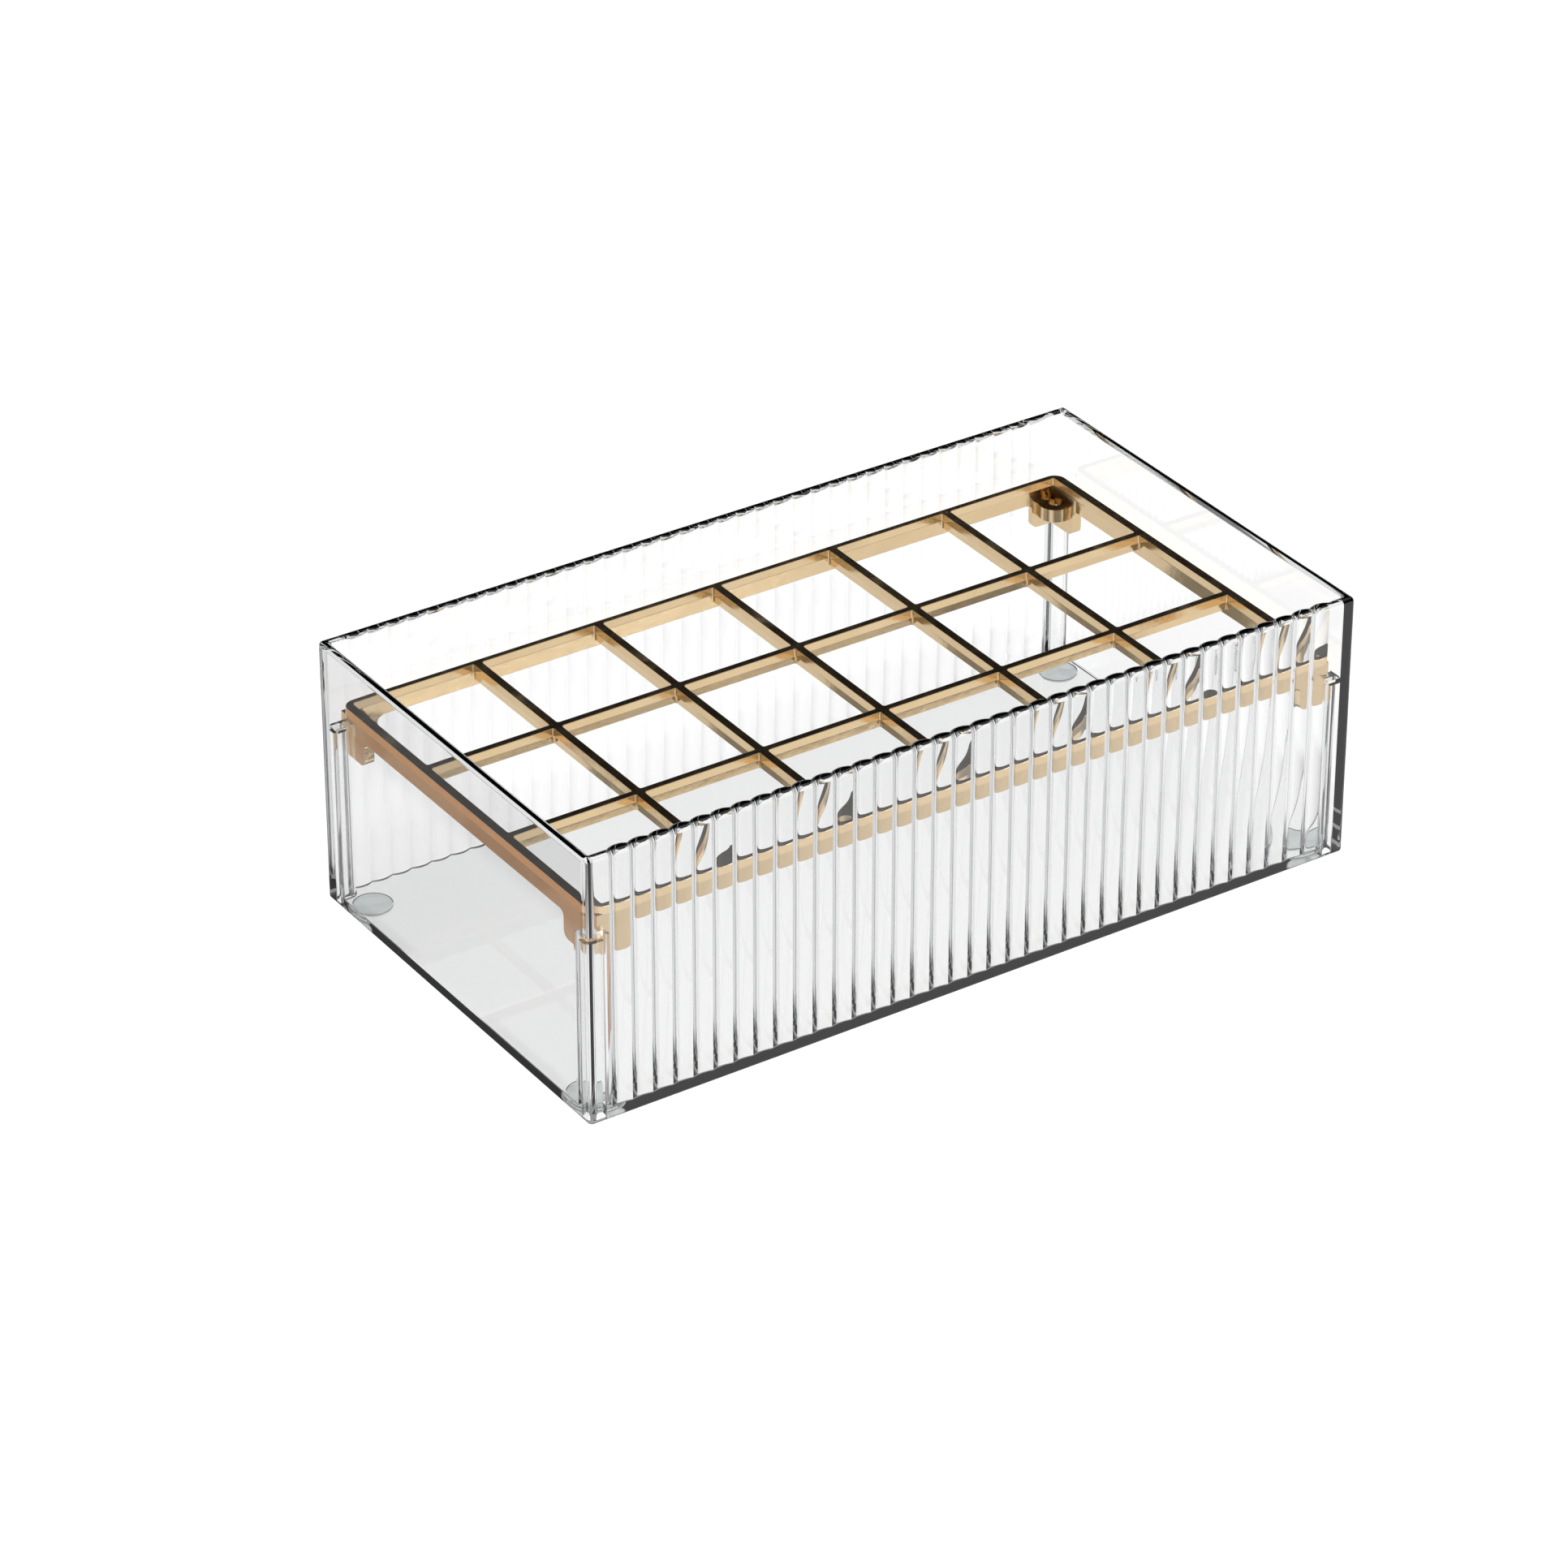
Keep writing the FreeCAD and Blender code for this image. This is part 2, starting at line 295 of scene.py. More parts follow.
def soften(piece, sharp_angle, is_crease=None):
    """Smooth shading that keeps flat faces flat and creases crisp."""
    mesh = piece.data
    mesh.shade_smooth()
    mesh.set_sharp_from_angle(angle=sharp_angle)
    if is_crease:
        for edge in mesh.edges:
            if all(is_crease(mesh.vertices[index].co) for index in edge.vertices):
                edge.use_edge_sharp = True
    weighted = piece.modifiers.new("Flat faces", "WEIGHTED_NORMAL")
    weighted.keep_sharp = True
    settle(piece)


def combine(piece, tool, operation):
    """Adds or takes away another closed shape, and removes that shape."""
    step = piece.modifiers.new(operation, "BOOLEAN")
    step.operation = operation
    step.solver = "EXACT"
    step.object = tool
    settle(piece)
    bpy.data.objects.remove(tool)


def check_closed(piece):
    work = bmesh.new()
    work.from_mesh(piece.data)
    open_edges = sum(1 for edge in work.edges if not edge.is_manifold)
    inside_out = work.calc_volume(signed=True) <= 0
    work.free()
    if open_edges or inside_out:
        raise RuntimeError(piece.name + " has " + str(open_edges) + " open edges, or is inside out")


def arc(centre, radius, start, end, segments):
    """Points along an arc in plan, from the start angle to the end angle in degrees."""
    points = []
    for step in range(segments + 1):
        turn = math.radians(start + (end - start) * step / segments)
        points.append((centre[0] + radius * math.cos(turn), centre[1] + radius * math.sin(turn)))
    return points


def run(start, end, segments):
    """Evenly spaced points along a straight line, without the last one."""
    return [(start[0] + (end[0] - start[0]) * step / segments,
             start[1] + (end[1] - start[1]) * step / segments) for step in range(segments)]


def mirrored_round(quarter):
    """Closed outline from its front right quarter, which runs from the front's middle to the right's."""
    right = quarter + [(x, -y) for x, y in reversed(quarter) if y != 0]
    return right + [(-x, y) for x, y in reversed(right) if x != 0]


def loft(work, loops, levels):
    """Skins a stack of outlines that have the same number of points. Repeated points are shared."""
    rings = []
    for outline, level in zip(loops, levels):
        ring = []
        for index, (x, y) in enumerate(outline):
            place = Vector((x, y, level))
            below = rings[-1][index] if rings else None
            if below and (below.co - place).length < SAME_POINT:
                ring.append(below)
            else:
                ring.append(work.verts.new(place))
        rings.append(ring)
    for low, high in zip(rings, rings[1:]):
        for index in range(len(low)):
            after = (index + 1) % len(low)
            corners = []
            for corner in (low[index], low[after], high[after], high[index]):
                if corner not in corners:
                    corners.append(corner)
            if len(corners) > 2:
                work.faces.new(corners)
    return rings


def loft_solid(work, loops, levels):
    """Closed solid from a stack of outlines, lowest first, each run anticlockwise."""
    rings = loft(work, loops, levels)
    work.faces.new(list(reversed(rings[0])))
    work.faces.new(rings[-1])
    return rings


def rounded_rectangle(half_x, half_y, radius, segments):
    quarter = arc((half_x - radius, -half_y + radius), radius, -90, 0, segments)
    return mirrored_round(quarter)


def new_tree(name, inputs):
    """Geometry node tree with one geometry output and the named inputs."""
    tree = bpy.data.node_groups.new(name, "GeometryNodeTree")
    tree.interface.new_socket("Geometry", in_out="OUTPUT", socket_type="NodeSocketGeometry")
    for label, kind in inputs:
        tree.interface.new_socket(label, in_out="INPUT", socket_type=kind)
    return tree


def add_node(tree, kind, **settings):
    node = tree.nodes.new(kind)
    for name, value in settings.items():
        setattr(node, name, value)
    return node


def calculate(tree, operation, first, second=None):
    """Math node with each input either a socket or a number."""
    node = add_node(tree, "ShaderNodeMath", operation=operation)
    for slot, value in enumerate((first, second)):
        if value is None:
            continue
        if isinstance(value, (int, float)):
            node.inputs[slot].default_value = value
        else:
            tree.links.new(value, node.inputs[slot])
    return node.outputs[0]


def finish_tree(tree, geometry, material):
    """Ends a tree in Realize Instances and Set Material."""
    realize = add_node(tree, "GeometryNodeRealizeInstances")
    paint = add_node(tree, "GeometryNodeSetMaterial")
    paint.inputs["Material"].default_value = material
    out = add_node(tree, "NodeGroupOutput")
    tree.links.new(geometry, realize.inputs[0])
    tree.links.new(realize.outputs[0], paint.inputs["Geometry"])
    tree.links.new(paint.outputs[0], out.inputs[0])


def grow(piece, tree, values):
    """Runs a tree on a piece with the given inputs, and keeps the result as a plain mesh."""
    step = piece.modifiers.new(tree.name, "NODES")
    step.node_group = tree
    for item in tree.interface.items_tree:
        if item.item_type == "SOCKET" and item.in_out == "INPUT" and item.name in values:
            step[item.identifier] = values[item.name]
    settle(piece)


class ShellPlan:
    """Outlines of the clear shell in plan, each a front right quarter with the same number of points."""

    OUTER_ARC = 6
    POST_ARC = 8
    INNER_ARC = 4
    END_STEPS = 6
    CORNER_STEPS = POST_ARC + INNER_ARC + 2

    def __init__(self, sizes):
        self.sizes = sizes
        self.half_x = shell_high.x
        self.half_y = shell_high.y
        self.inside_x = self.half_x - sizes.end_wall
        self.inside_y = self.half_y - sizes.side_wall
        self.post_x = self.half_x - sizes.post_length
        self.post_y = self.half_y - sizes.post_width
        self.rib_zone = 2 * self.post_x
        self.rib_count = int(self.rib_zone / sizes.rib_pitch)
        self.rib_pitch = self.rib_zone / self.rib_count
        self.end_y = -self.post_y + sizes.inner_corner

    def side_run(self, y, inset=0.0):
        """Points along the front wall, from its middle to the corner post."""
        steps = self.rib_count * self.sizes.rib_segments // 2
        last_rib = self.post_x - self.rib_pitch
        points = []
        for step in range(steps + 1):
            x = self.post_x * step / steps
            if x > last_rib:
                x = last_rib + (x - last_rib) * (1 - inset / self.rib_pitch)
            points.append((x, y))
        return points

    def end_run(self, x):
        """Points along the right wall, from the corner post to its middle."""
        return [(x, self.end_y * (1 - step / self.END_STEPS)) for step in range(self.END_STEPS + 1)]

    def round_corner(self, half_x, half_y, radius, segments):
        """Points from the end of the side run, round a plain corner, up to the end run."""
        turn = arc((half_x - radius, -half_y + radius), radius, -90, 0, segments)
        spare = self.CORNER_STEPS - segments
        before = spare // 2
        lead = run((self.post_x, -half_y), turn[0], before)
        tail = run(turn[-1], (half_x, self.end_y), spare - before)
        return lead[1:] + turn + tail[1:]

    def outside(self, inset):
        half_x = self.half_x - inset
        half_y = self.half_y - inset
        corner = self.round_corner(half_x, half_y, self.sizes.outer_corner - inset, self.OUTER_ARC)
        return self.side_run(-half_y) + corner + self.end_run(half_x)

    def above_posts(self, inset):
        """Inside of the walls above the posts. The inset grows into the box."""
        half_x = self.inside_x - inset
        half_y = self.inside_y - inset
        corner = self.round_corner(half_x, half_y, self.sizes.inner_corner, self.INNER_ARC)
        return self.side_run(-self.inside_y) + corner + self.end_run(half_x)

    def round_posts(self, inset):
        """Inside of the walls and round the posts."""
        sizes = self.sizes
        half_x = self.inside_x - inset
        centre = (self.post_x + sizes.post_rounding, -self.post_y - sizes.post_rounding)
        free_edge = arc(centre, sizes.post_rounding + inset, 180, 90, self.POST_ARC)
        hollow = sizes.inner_corner - inset / 2
        beside = arc((half_x - hollow, -self.post_y + inset + hollow), hollow, -90, 0, self.INNER_ARC)
        return self.side_run(-self.inside_y, inset) + free_edge + beside[:-1] + self.end_run(half_x)


def quarter_circle(steps):
    """Cosine and sine at even turns from 0 to 90 degrees."""
    return [(math.cos(math.pi / 2 * step / steps), math.sin(math.pi / 2 * step / steps))
            for step in range(steps + 1)]


def shell_rings(plan):
    """The shell's skin as (outline, height, inset, inside), up the outside, over the rim and down."""
    sizes = plan.sizes
    steps = 4
    underside = shell_low.z
    top = shell_high.z
    floor_top = underside + sizes.floor_thickness
    rings = []
    for across, up in quarter_circle(steps):
        inset = sizes.bottom_edge * (1 - up)
        rings.append((plan.outside(inset), underside + sizes.bottom_edge * (1 - across), inset, False))
    for across, up in quarter_circle(steps):
        inset = sizes.rim_edge * (1 - across)
        rings.append((plan.outside(inset), top - sizes.rim_edge * (1 - up), inset, False))
    for across, up in quarter_circle(steps):
        inset = -sizes.rim_edge * (1 - up)
        rings.append((plan.above_posts(inset), top - sizes.rim_edge * (1 - across), inset, True))
    rings.append((plan.above_posts(0), sizes.post_top, 0, True))
    rings.append((plan.round_posts(0), sizes.post_top, 0, True))
    for across, up in quarter_circle(steps):
        inset = sizes.cove * (1 - across)
        rings.append((plan.round_posts(inset), floor_top + sizes.cove * (1 - up), inset, True))
    return rings


def pad_places():
    """Middle of each foot pad in plan, with its radius and its height, read from the CAD model."""
    places = []
    for node in PAD_NODES:
        low, high = (Vector(corner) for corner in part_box(node))
        places.append(((low + high) / 2, (high.x - low.x) / 2, high.z))
    return places


def add_recess(work, centre, outline, floor, roof):
    """Recess in the bottom face. Its lower edge is returned for the face around it."""
    outline = [(centre[0] + x, centre[1] + y) for x, y in outline]
    low, high = loft(work, [outline, outline], [floor, roof])
    work.faces.new(high)
    return [work.edges.get((low[index - 1], low[index])) for index in range(len(low))]


def post_hollows(plan):
    """Middle and outline of the hollow inside each corner post."""
    sizes = plan.sizes
    low_x = plan.post_x + sizes.post_wall
    low_y = plan.post_y + sizes.post_wall
    half_x = (plan.inside_x - low_x) / 2
    half_y = (plan.inside_y - low_y) / 2
    outline = rounded_rectangle(half_x, half_y, min(half_x, half_y) / 2, segments=4)
    return [((sign_x * (low_x + half_x), sign_y * (low_y + half_y)), outline)
            for sign_x in (-1, 1) for sign_y in (-1, 1)]


def build_shell(work, plan):
    """Shell with plain walls, recesses for its pads and hollow posts, before the ribs are raised."""
    side_layer = work.verts.layers.float.new("rib_side")
    inset_layer = work.verts.layers.float.new("inset")
    planned = shell_rings(plan)
    rings = loft(work, [mirrored_round(ring[0]) for ring in planned], [ring[1] for ring in planned])
    for ring, (_, _, inset, inside) in zip(rings, planned):
        for vertex in ring:
            on_wall = abs(abs(vertex.co.y) - plan.inside_y) < SAME_WALL
            between_posts = abs(vertex.co.x) < plan.post_x + SAME_WALL
            ribbed = inside and on_wall and between_posts
            vertex[side_layer] = math.copysign(1, vertex.co.y) if ribbed else 0
            vertex[inset_layer] = inset
    work.faces.new(rings[-1])
    bottom = rings[0]
    edges = [work.edges.get((bottom[index - 1], bottom[index])) for index in range(len(bottom))]
    for centre, radius, pad_top in pad_places():
        outline = arc((0, 0), radius + PAD_RECESS_GAP, 0, 360, segments=48)[:-1]
        edges += add_recess(work, centre, outline, shell_low.z, pad_top)
    for centre, outline in post_hollows(plan):
        roof = plan.sizes.post_top - plan.sizes.post_wall
        edges += add_recess(work, centre, outline, shell_low.z, roof)
    bmesh.ops.triangle_fill(work, use_beauty=True, use_dissolve=False, edges=edges)
    bmesh.ops.recalc_face_normals(work, faces=work.faces)


def rib_tree(material):
    """Moves the long walls' inner face into a row of round ribs."""
    tree = new_tree("Ribbed walls", (
        ("Shell", "NodeSocketGeometry"),
        ("Rib Zone", "NodeSocketFloat"),
        ("Rib Pitch", "NodeSocketFloat"),
        ("Rib Height", "NodeSocketFloat")))
    group = add_node(tree, "NodeGroupInput")
    pitch = group.outputs["Rib Pitch"]
    height = group.outputs["Rib Height"]
    half_pitch = calculate(tree, "MULTIPLY", pitch, 0.5)
    half_zone = calculate(tree, "MULTIPLY", group.outputs["Rib Zone"], 0.5)
    chord = calculate(tree, "POWER", half_pitch, 2.0)
    rise = calculate(tree, "POWER", height, 2.0)
    squares = calculate(tree, "ADD", chord, rise)
    radius = calculate(tree, "DIVIDE", squares, calculate(tree, "MULTIPLY", height, 2.0))

    place = add_node(tree, "GeometryNodeInputPosition")
    split = add_node(tree, "ShaderNodeSeparateXYZ")
    tree.links.new(place.outputs[0], split.inputs[0])
    along = calculate(tree, "FLOORED_MODULO", calculate(tree, "ADD", split.outputs["X"], half_zone), pitch)
    from_middle = calculate(tree, "SUBTRACT", along, half_pitch)

    side = add_node(tree, "GeometryNodeInputNamedAttribute", data_type="FLOAT")
    side.inputs["Name"].default_value = "rib_side"
    inset = add_node(tree, "GeometryNodeInputNamedAttribute", data_type="FLOAT")
    inset.inputs["Name"].default_value = "inset"
    grown = calculate(tree, "POWER", calculate(tree, "ADD", radius, inset.outputs[0]), 2.0)
    offset = calculate(tree, "POWER", from_middle, 2.0)
    reach = calculate(tree, "SQRT", calculate(tree, "SUBTRACT", grown, offset))
    bulge = calculate(tree, "SUBTRACT", reach, calculate(tree, "SUBTRACT", radius, height))
    inward = calculate(tree, "MULTIPLY", calculate(tree, "MULTIPLY", bulge, side.outputs[0]), -1.0)

    shift = add_node(tree, "ShaderNodeCombineXYZ")
    move = add_node(tree, "GeometryNodeSetPosition")
    tree.links.new(inward, shift.inputs["Y"])
    tree.links.new(group.outputs["Shell"], move.inputs["Geometry"])
    tree.links.new(shift.outputs[0], move.inputs["Offset"])
    finish_tree(tree, move.outputs[0], material)
    return tree


class GridPlan:
    """Sizes of the grid insert that follow from its named sizes and the CAD model."""

    def __init__(self, sizes):
        self.sizes = sizes
        self.half_x = grid_high.x
        self.half_y = grid_high.y
        self.top = grid_high.z
        self.parting = self.top - sizes.upper_height
        self.bottom = self.parting - sizes.lower_height
        self.leg_bottom = self.bottom - sizes.leg_drop
        self.cell_x = (2 * (self.half_x - sizes.end_rail)
                       - (sizes.cells_along - 1) * sizes.cross_bar) / sizes.cells_along
        self.cell_y = (2 * (self.half_y - sizes.side_rail)
                       - (sizes.cells_across - 1) * sizes.long_bar) / sizes.cells_across
        self.leg_x = self.half_x - sizes.draft
        self.leg_y = self.half_y - sizes.draft

    def profile(self, low_lean):
        """Upright face as (lean, height), from the bottom face to the top face."""
        sizes = self.sizes
        steps = quarter_circle(BAR_EDGE_STEPS)
        low = [(low_lean + sizes.edge * (1 - up), self.bottom + sizes.edge * (1 - across))
               for across, up in steps]
        high = [(sizes.draft + sizes.edge * (1 - across), self.top - sizes.edge * (1 - up))
                for across, up in steps]
        return low + [(0.0, self.parting)] + high

    def cell_profile(self):
        """Face of a cell, with the underside of the lip below its parting line."""
        profile = self.profile(self.sizes.lower_draft)
        lip = (self.sizes.lip, self.parting - self.sizes.lip_height)
        parting = profile.index((0.0, self.parting))
        return profile[:parting] + [lip] + profile[parting:]

    def lean_at(self, level):
        """Lean of a cell's lower face at a height below the lip."""
        sizes = self.sizes
        leaning = sizes.lower_height - sizes.lip_height - sizes.edge
        share = (self.parting - sizes.lip_height - level) / leaning
        return sizes.lip + (sizes.lower_draft - sizes.lip) * share


def build_plate(work, plan):
    """Outer block of the grid, before its cells are cut."""
    loops = []
    levels = []
    for lean, level in plan.profile(plan.sizes.draft):
        radius = plan.sizes.corner_radius - lean
        loops.append(rounded_rectangle(plan.half_x - lean, plan.half_y - lean, radius, segments=10))
        levels.append(level)
    loft_solid(work, loops, levels)


def build_cell_cutter(work, plan):
    """Space of one cell, with the rounding of the bars' edges, a little taller than the grid."""
    profile = plan.cell_profile()
    foot = (profile[0][0], profile[0][1] - CUT_BEYOND)
    head = (profile[-1][0], profile[-1][1] + CUT_BEYOND)
    loops = []
    levels = []
    for lean, level in [foot] + profile + [head]:
        radius = plan.sizes.cell_corner + lean
        half_x = plan.cell_x / 2 + lean
        half_y = plan.cell_y / 2 + lean
        loops.append(rounded_rectangle(half_x, half_y, radius, segments=5))
        levels.append(level)
    loft_solid(work, loops, levels)


def build_bar_room(work, plan):
    """Space inside the rails and below the bars, a hair short of the rails' faces."""
    sizes = plan.sizes
    low_edge = plan.cell_profile()[:BAR_EDGE_STEPS + 1]
    bar_bottom = plan.top - sizes.bar_height
    foot = (low_edge[0][0], plan.bottom - CUT_BEYOND)
    head = (plan.lean_at(bar_bottom), bar_bottom)
    loops = []
    levels = []
    for lean, level in [foot] + low_edge + [head]:
        half_x = plan.half_x - sizes.end_rail + lean - CUT_HAIR
        half_y = plan.half_y - sizes.side_rail + lean - CUT_HAIR
        loops.append(rounded_rectangle(half_x, half_y, sizes.cell_corner + lean, segments=5))
        levels.append(level)
    loft_solid(work, loops, levels)


def leg_outline(reach, drop_from, drop_to, foot, root, overlap):
    """Side view of a leg as (inward, height), with a rounded foot and a hollow root."""
    points = [(0.0, drop_from + overlap), (0.0, drop_to)]
    points += arc((reach - foot, drop_to + foot), foot, -90, 0, segments=8)
    points += arc((reach + root, drop_from - root), root, 180, 90, segments=8)
    points.append((reach + root, drop_from + overlap))
    return points


def build_leg(work, plan, along_x):
    """One leg of the back right corner, under the side rail or under the end rail."""
    sizes = plan.sizes
    reach = sizes.side_leg_length if along_x else sizes.end_leg_length
    thickness = sizes.side_leg_thickness if along_x else sizes.end_leg_thickness
    overlap = plan.parting - plan.bottom
    outline = leg_outline(
        reach, plan.bottom, plan.leg_bottom, sizes.foot_rounding, sizes.root_rounding, overlap)
    sides = []
    for depth in (0.0, thickness):
        side = []
        for inward, level in outline:
            if along_x:
                side.append(work.verts.new((plan.leg_x - inward, plan.leg_y - depth, level)))
            else:
                side.append(work.verts.new((plan.leg_x - depth, plan.leg_y - inward, level)))
        sides.append(side)
    for index in range(len(outline)):
        work.faces.new((sides[0][index - 1], sides[0][index], sides[1][index], sides[1][index - 1]))
    work.faces.new(sides[0])
    work.faces.new(sides[1])
    bmesh.ops.recalc_face_normals(work, faces=work.faces)


def disc(work, centre, radius, low, high, facets):
    """Upright round solid between two heights."""
    outline = [(centre[0] + x, centre[1] + y) for x, y in arc((0, 0), radius, 0, 360, facets)[:-1]]
    loft_solid(work, [outline, outline], [low, high])


def build_post_room(work, plan):
    """Space round the corner post that the legs must leave free."""
    shell = bpy.context.scene.organizer_shell
    clearance = plan.sizes.post_clearance
    post_x = shell_high.x - shell.post_length - clearance
    post_y = shell_high.y - shell.post_width - clearance
    far_x = post_x + POST_ROOM_REACH
    far_y = post_y + POST_ROOM_REACH
    radius = shell.post_rounding + clearance
    outline = arc((post_x + radius, post_y + radius), radius, 180, 270, segments=12)
    outline += [(far_x, post_y), (far_x, far_y), (post_x, far_y)]
    loft_solid(work, [outline, outline], [plan.leg_bottom - POST_ROOM_REACH, plan.bottom])


def build_boss_limit(work, plan):
    """Upright block that keeps the boss inside the legs' outer faces."""
    low_x = plan.leg_x - BOSS_LIMIT_SIDE
    low_y = plan.leg_y - BOSS_LIMIT_SIDE
    outline = [(low_x, low_y), (plan.leg_x, low_y), (plan.leg_x, plan.leg_y), (low_x, plan.leg_y)]
    loft_solid(work, [outline, outline], [plan.leg_bottom, plan.top])


def corner_legs(plan):
    """Both legs and the boss of the back right corner, as one closed piece."""
    sizes = plan.sizes
    piece = new_piece("corner_legs", lambda work: build_leg(work, plan, along_x=False))
    side = new_piece("side_leg", lambda work: build_leg(work, plan, along_x=True))
    combine(piece, side, "UNION")
    centre = (plan.half_x - sizes.boss_end_inset, plan.half_y - sizes.boss_side_inset)
    low = plan.bottom - sizes.boss_height
    radius = sizes.boss_diameter / 2
    boss = new_piece("boss", lambda work: disc(work, centre, radius, low, plan.bottom, facets=48))
    limit = new_piece("limit", lambda work: build_boss_limit(work, plan))
    combine(boss, limit, "INTERSECT")
    combine(piece, boss, "UNION")
    room = new_piece("room", lambda work: build_post_room(work, plan))
    combine(piece, room, "DIFFERENCE")
    hole = new_piece("hole", lambda work: disc(
        work, centre, sizes.boss_hole / 2, low - MM, plan.bottom, facets=32))
    combine(piece, hole, "DIFFERENCE")
    rounding = piece.modifiers.new("Edges", "BEVEL")
    rounding.width = sizes.leg_edge
    rounding.segments = 2
    rounding.limit_method = "ANGLE"
    rounding.angle_limit = math.radians(40)
    settle(piece)
    return piece


def at_all_corners(piece):
    """Mirrors a piece of the back right corner to all four corners."""
    work = bmesh.new()
    for sign_x in (1, -1):
        for sign_y in (1, -1):
            copy = piece.data.copy()
            copy.transform(Matrix.Diagonal((sign_x, sign_y, 1, 1)))
            work.from_mesh(copy)
            bpy.data.meshes.remove(copy)
    bmesh.ops.recalc_face_normals(work, faces=work.faces)
    work.to_mesh(piece.data)
    work.free()


def cell_tree(material, cutter, bar_room, legs):
    """Cuts rows of cells through the grid's outer block, and joins the corner legs to it."""
    tree = new_tree("Cells and legs", (
        ("Block", "NodeSocketGeometry"),
        ("Cells Along", "NodeSocketInt"),
        ("Cells Across", "NodeSocketInt"),
        ("Pitch Along", "NodeSocketFloat"),
        ("Pitch Across", "NodeSocketFloat")))
    group = add_node(tree, "NodeGroupInput")
    lattice = add_node(tree, "GeometryNodeMeshGrid")
    for number, way, size, vertices in (
            ("Cells Along", "Pitch Along", "Size X", "Vertices X"),
            ("Cells Across", "Pitch Across", "Size Y", "Vertices Y")):
        gaps = calculate(tree, "SUBTRACT", group.outputs[number], 1.0)
        tree.links.new(calculate(tree, "MULTIPLY", gaps, group.outputs[way]), lattice.inputs[size])
        tree.links.new(group.outputs[number], lattice.inputs[vertices])
    cell = add_node(tree, "GeometryNodeObjectInfo")
    cell.inputs["Object"].default_value = cutter
    below = add_node(tree, "GeometryNodeObjectInfo")
    below.inputs["Object"].default_value = bar_room
    corner = add_node(tree, "GeometryNodeObjectInfo")
    corner.inputs["Object"].default_value = legs
    rows = add_node(tree, "GeometryNodeInstanceOnPoints")
    tree.links.new(lattice.outputs["Mesh"], rows.inputs["Points"])
    tree.links.new(cell.outputs["Geometry"], rows.inputs["Instance"])
    solid_rows = add_node(tree, "GeometryNodeRealizeInstances")
    tree.links.new(rows.outputs[0], solid_rows.inputs[0])
    cut = add_node(tree, "GeometryNodeMeshBoolean", operation="DIFFERENCE", solver="EXACT")
    tree.links.new(group.outputs["Block"], cut.inputs["Mesh 1"])
    tree.links.new(solid_rows.outputs[0], cut.inputs["Mesh 2"])
    tree.links.new(below.outputs["Geometry"], cut.inputs["Mesh 2"])
    join = add_node(tree, "GeometryNodeMeshBoolean", operation="UNION", solver="EXACT")
    tree.links.new(cut.outputs["Mesh"], join.inputs["Mesh 2"])
    tree.links.new(corner.outputs["Geometry"], join.inputs["Mesh 2"])
    finish_tree(tree, join.outputs["Mesh"], material)
    return tree


def pad_profile(sizes, radius, thickness):
    """Half section of a pad as (radius, height), from the middle of its base to the middle of its top."""
    points = [(0.0, 0.0), (radius / 2, 0.0)]
    for across, up in quarter_circle(4):
        points.append((radius - sizes.edge * (1 - up), sizes.edge * (1 - across)))
    for across, up in quarter_circle(3):
        points.append((radius - sizes.top_edge * (1 - across), thickness - sizes.top_edge * (1 - up)))
    return points + [(radius / 2, thickness), (0.0, thickness)]


def build_pad(work, sizes, radius, thickness):
    """One round pad, spun from its half section."""
    verts = [work.verts.new((across, 0, up)) for across, up in pad_profile(sizes, radius, thickness)]
    edges = [work.edges.new(pair) for pair in zip(verts, verts[1:])]
    bmesh.ops.spin(work, geom=verts + edges, cent=(0, 0, 0), axis=(0, 0, 1), angle=math.tau,
                   steps=sizes.facets, use_duplicate=False)
    bmesh.ops.remove_doubles(work, verts=work.verts, dist=SAME_EDGE)
    bmesh.ops.recalc_face_normals(work, faces=work.faces)


def pad_tree(material):
    """Puts one pad under each corner of a rectangle."""
    tree = new_tree("Pads at the corners", (
        ("Pad", "NodeSocketGeometry"),
        ("Spread X", "NodeSocketFloat"),
        ("Spread Y", "NodeSocketFloat")))
    group = add_node(tree, "NodeGroupInput")
    lattice = add_node(tree, "GeometryNodeMeshGrid")
    lattice.inputs["Vertices X"].default_value = 2
    lattice.inputs["Vertices Y"].default_value = 2
    tree.links.new(group.outputs["Spread X"], lattice.inputs["Size X"])
    tree.links.new(group.outputs["Spread Y"], lattice.inputs["Size Y"])
    pads = add_node(tree, "GeometryNodeInstanceOnPoints")
    tree.links.new(lattice.outputs["Mesh"], pads.inputs["Points"])
    tree.links.new(group.outputs["Pad"], pads.inputs["Instance"])
    finish_tree(tree, pads.outputs[0], material)
    return tree


def new_material(name):
    material = bpy.data.materials.new(name)
    material.use_nodes = True
    material.node_tree.nodes.clear()
    return material, material.node_tree


def surface_noise(tree, scale, detail, low, high):
    """Noise on the object's own coordinates, brought into a range."""
    coordinates = add_node(tree, "ShaderNodeTexCoord")
    noise = add_node(tree, "ShaderNodeTexNoise")
    noise.inputs["Scale"].default_value = scale
    noise.inputs["Detail"].default_value = detail
    spread = add_node(tree, "ShaderNodeMapRange")
    spread.inputs["To Min"].default_value = low
    spread.inputs["To Max"].default_value = high
    spread.inputs["From Min"].default_value = NOISE_LOW
    spread.inputs["From Max"].default_value = NOISE_HIGH
    tree.links.new(coordinates.outputs["Object"], noise.inputs["Vector"])
    tree.links.new(noise.outputs["Fac"], spread.inputs["Value"])
    return spread.outputs[0]


